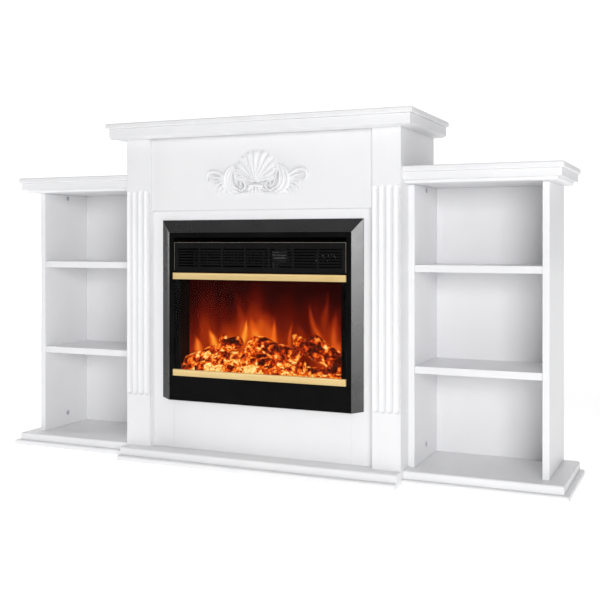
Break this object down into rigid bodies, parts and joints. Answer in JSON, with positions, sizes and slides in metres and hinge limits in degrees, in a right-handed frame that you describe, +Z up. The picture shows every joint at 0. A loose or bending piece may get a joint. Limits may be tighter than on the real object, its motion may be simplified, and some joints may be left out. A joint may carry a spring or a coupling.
{
  "type": "electric fireplace",
  "caption": "Electric fireplace in a white mantel cabinet between open bookcases, with a glazed firebox, glowing log bed, fan heater and a drop-down louvred control flap.",
  "frame": {"origin": "on the floor, under the middle of the overall box", "axes": "+X along the wall to the right seen from the room, +Y towards the wall, +Z up; the front faces -Y"},
  "size_m": [1.784, 0.388, 1.034],
  "materials": {
    "white_paint": "satin white painted fibreboard",
    "black_metal": "satin black powder coat",
    "black_plastic": "matt black moulding",
    "brass_trim": "brushed brass trim",
    "tinted_glass": "clear toughened glass",
    "bare_steel": "plain galvanised sheet",
    "log_resin": "moulded translucent logs, lit from below",
    "ember_resin": "translucent ember bed, lit from below",
    "flame_film": "back-lit diffusing screen",
    "circuit_board": "printed circuit with lamps",
    "foil": "bright sheet"
  },
  "bodies": {
    "cabinet": {"mantel_top_board": "white_paint", "crown_front": "white_paint", "crown_return_left": "white_paint", "crown_return_right": "white_paint", "pilaster_left": "white_paint", "pilaster_right": "white_paint", "centre_side_panel_left": "white_paint", "centre_side_panel_right": "white_paint", "surround_stile_left": "white_paint", "surround_stile_right": "white_paint", "surround_header": "white_paint", "surround_bottom_panel": "white_paint", "frieze_panel": "white_paint", "insert_shelf": "white_paint", "carved_applique": "white_paint", "centre_base_board": "white_paint", "centre_base_plinth": "white_paint", "left_bookcase_inner_panel": "white_paint", "left_bookcase_outer_panel": "white_paint", "left_bookcase_back_panel": "white_paint", "left_bookcase_upper_shelf": "white_paint", "left_bookcase_lower_shelf": "white_paint", "left_bookcase_top_board": "white_paint", "left_bookcase_cornice": "white_paint", "left_bookcase_base_board": "white_paint", "left_bookcase_base_plinth": "white_paint", "right_bookcase_inner_panel": "white_paint", "right_bookcase_outer_panel": "white_paint", "right_bookcase_back_panel": "white_paint", "right_bookcase_upper_shelf": "white_paint", "right_bookcase_lower_shelf": "white_paint", "right_bookcase_top_board": "white_paint", "right_bookcase_cornice": "white_paint", "right_bookcase_base_board": "white_paint", "right_bookcase_base_plinth": "white_paint", "bezel_frame": "black_metal", "face_frame": "black_metal", "lower_trim_strip": "brass_trim", "upper_trim_strip": "brass_trim", "glass_pane": "tinted_glass", "firebox_cover": "bare_steel", "firebox_floor": "bare_steel", "firebox_baffle": "bare_steel", "firebox_back": "bare_steel", "ember_bed": "ember_resin", "flame_screen": "flame_film", "log_set": "log_resin", "lamp_board": "circuit_board", "spindle_motor": "bare_steel", "blower_motor": "bare_steel", "heater_element": "bare_steel", "control_box": "black_plastic", "cord_gland": "black_plastic"},
    "louvre_flap": {"louvre_flap": "black_plastic"},
    "flame_spindle": {"flame_spindle": "foil"},
    "blower_wheel": {"blower_wheel": "foil"},
    "power_rocker": {"power_rocker": "black_plastic"},
    "heat_rocker": {"heat_rocker": "black_plastic"},
    "flame_knob": {"flame_knob": "black_plastic"},
    "thermostat_knob": {"thermostat_knob": "black_plastic"}
  },
  "joints": [
    {"name": "flap_hinge", "type": "hinge", "parent": "cabinet", "child": "louvre_flap", "pos_m": [0, -0.1265, 0.5795], "axis": [1, 0, 0], "range_deg": [0, 78]},
    {"name": "spindle_spin", "type": "hinge", "parent": "cabinet", "child": "flame_spindle", "pos_m": [0, 0.048, 0.3168], "axis": [1, 0, 0], "continuous": true},
    {"name": "blower_spin", "type": "hinge", "parent": "cabinet", "child": "blower_wheel", "pos_m": [0, -0.032, 0.6247], "axis": [1, 0, 0], "continuous": true},
    {"name": "power_rocker_tilt", "type": "hinge", "parent": "cabinet", "child": "power_rocker", "pos_m": [0.132, -0.086, 0.62], "axis": [1, 0, 0], "range_deg": [0, 14]},
    {"name": "heat_rocker_tilt", "type": "hinge", "parent": "cabinet", "child": "heat_rocker", "pos_m": [0.156, -0.086, 0.62], "axis": [1, 0, 0], "range_deg": [0, 14]},
    {"name": "flame_knob_turn", "type": "hinge", "parent": "cabinet", "child": "flame_knob", "pos_m": [0.188, -0.096, 0.62], "axis": [0, 1, 0], "range_deg": [0, 270]},
    {"name": "thermostat_knob_turn", "type": "hinge", "parent": "cabinet", "child": "thermostat_knob", "pos_m": [0.224, -0.096, 0.62], "axis": [0, 1, 0], "range_deg": [0, 270]}
  ]
}
